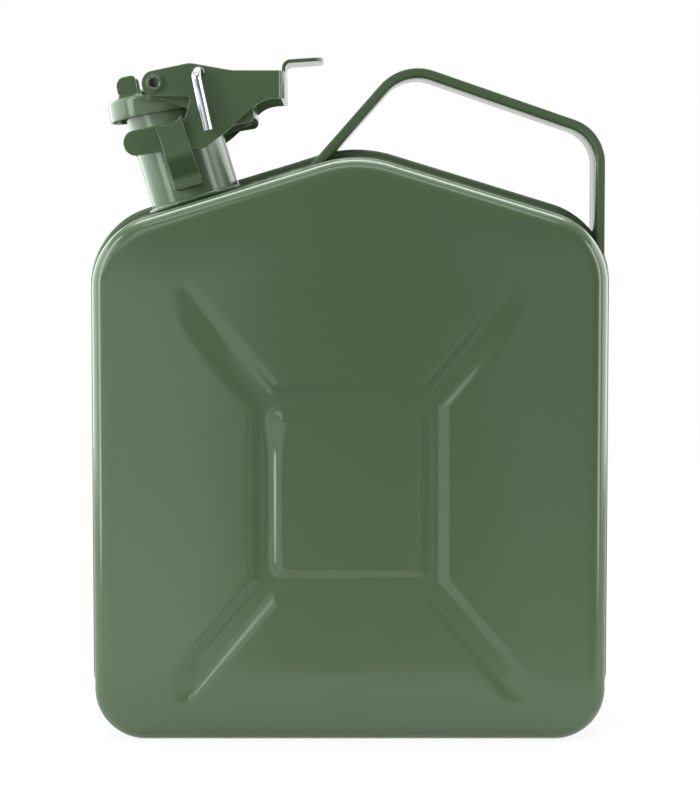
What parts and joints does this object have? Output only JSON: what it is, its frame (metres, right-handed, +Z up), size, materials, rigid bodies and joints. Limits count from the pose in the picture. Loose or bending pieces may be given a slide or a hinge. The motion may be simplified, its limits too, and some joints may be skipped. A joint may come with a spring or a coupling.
{
  "type": "metal jerry can",
  "caption": "Flat-sided steel fuel can of two pressed shells, with one strip handle and a hinged lid held by a hooked cam lever with a hanging locking pin.",
  "frame": {"origin": "middle of the sole, in the plane of the centre seam", "axes": "+Z up, +X from the neck towards the handle's rear foot, +Y from the front face to the rear face"},
  "size_m": [0.2526, 0.104, 0.3229],
  "materials": {
    "olive_paint": "semi-gloss olive green paint",
    "zinc_plate": "bright zinc plate",
    "bare_steel": "plain steel",
    "black_rubber": "matt black fuel-proof rubber"
  },
  "bodies": {
    "can": {"breather_tube": "zinc_plate", "catch_pin_far": "bare_steel", "catch_pin_near": "bare_steel", "catch_strap_far": "olive_paint", "catch_strap_near": "olive_paint", "front_shell": "olive_paint", "handle": "olive_paint", "hinge_pin": "bare_steel", "hinge_spacer_far": "bare_steel", "hinge_spacer_near": "bare_steel", "neck_tube": "olive_paint", "neck_weld": "olive_paint", "neck_yoke": "olive_paint", "rear_shell": "olive_paint"},
    "lid": {"lid": "olive_paint", "lid_gasket": "black_rubber", "gasket_retainer": "zinc_plate", "lid_rivet": "bare_steel", "lid_bridge": "olive_paint", "lever_rivet_near": "olive_paint", "lever_rivet_far": "olive_paint", "rivet_washer_near": "olive_paint", "rivet_washer_far": "olive_paint"},
    "lever": {"lever": "olive_paint"},
    "locking_pin": {"locking_pin": "zinc_plate", "pin_retainer": "bare_steel"}
  },
  "joints": [
    {"name": "lid_swing", "type": "hinge", "parent": "can", "child": "lid", "pos_m": [-0.05208, 0, 0.29559], "axis": [0, 1, 0], "range_deg": [0, 84]},
    {"name": "lever_lift", "type": "hinge", "parent": "lid", "child": "lever", "pos_m": [-0.09214, 0, 0.30908], "axis": [0, -1, 0], "range_deg": [0, 140]},
    {"name": "pin_swing", "type": "hinge", "parent": "lever", "child": "locking_pin", "pos_m": [-0.07124, 0, 0.31458], "axis": [0, -1, 0], "range_deg": [-6, 75]}
  ],
  "couplings": [
    {"joint": "lid_swing", "follows": "lever_lift", "ratio": 0.6}
  ]
}
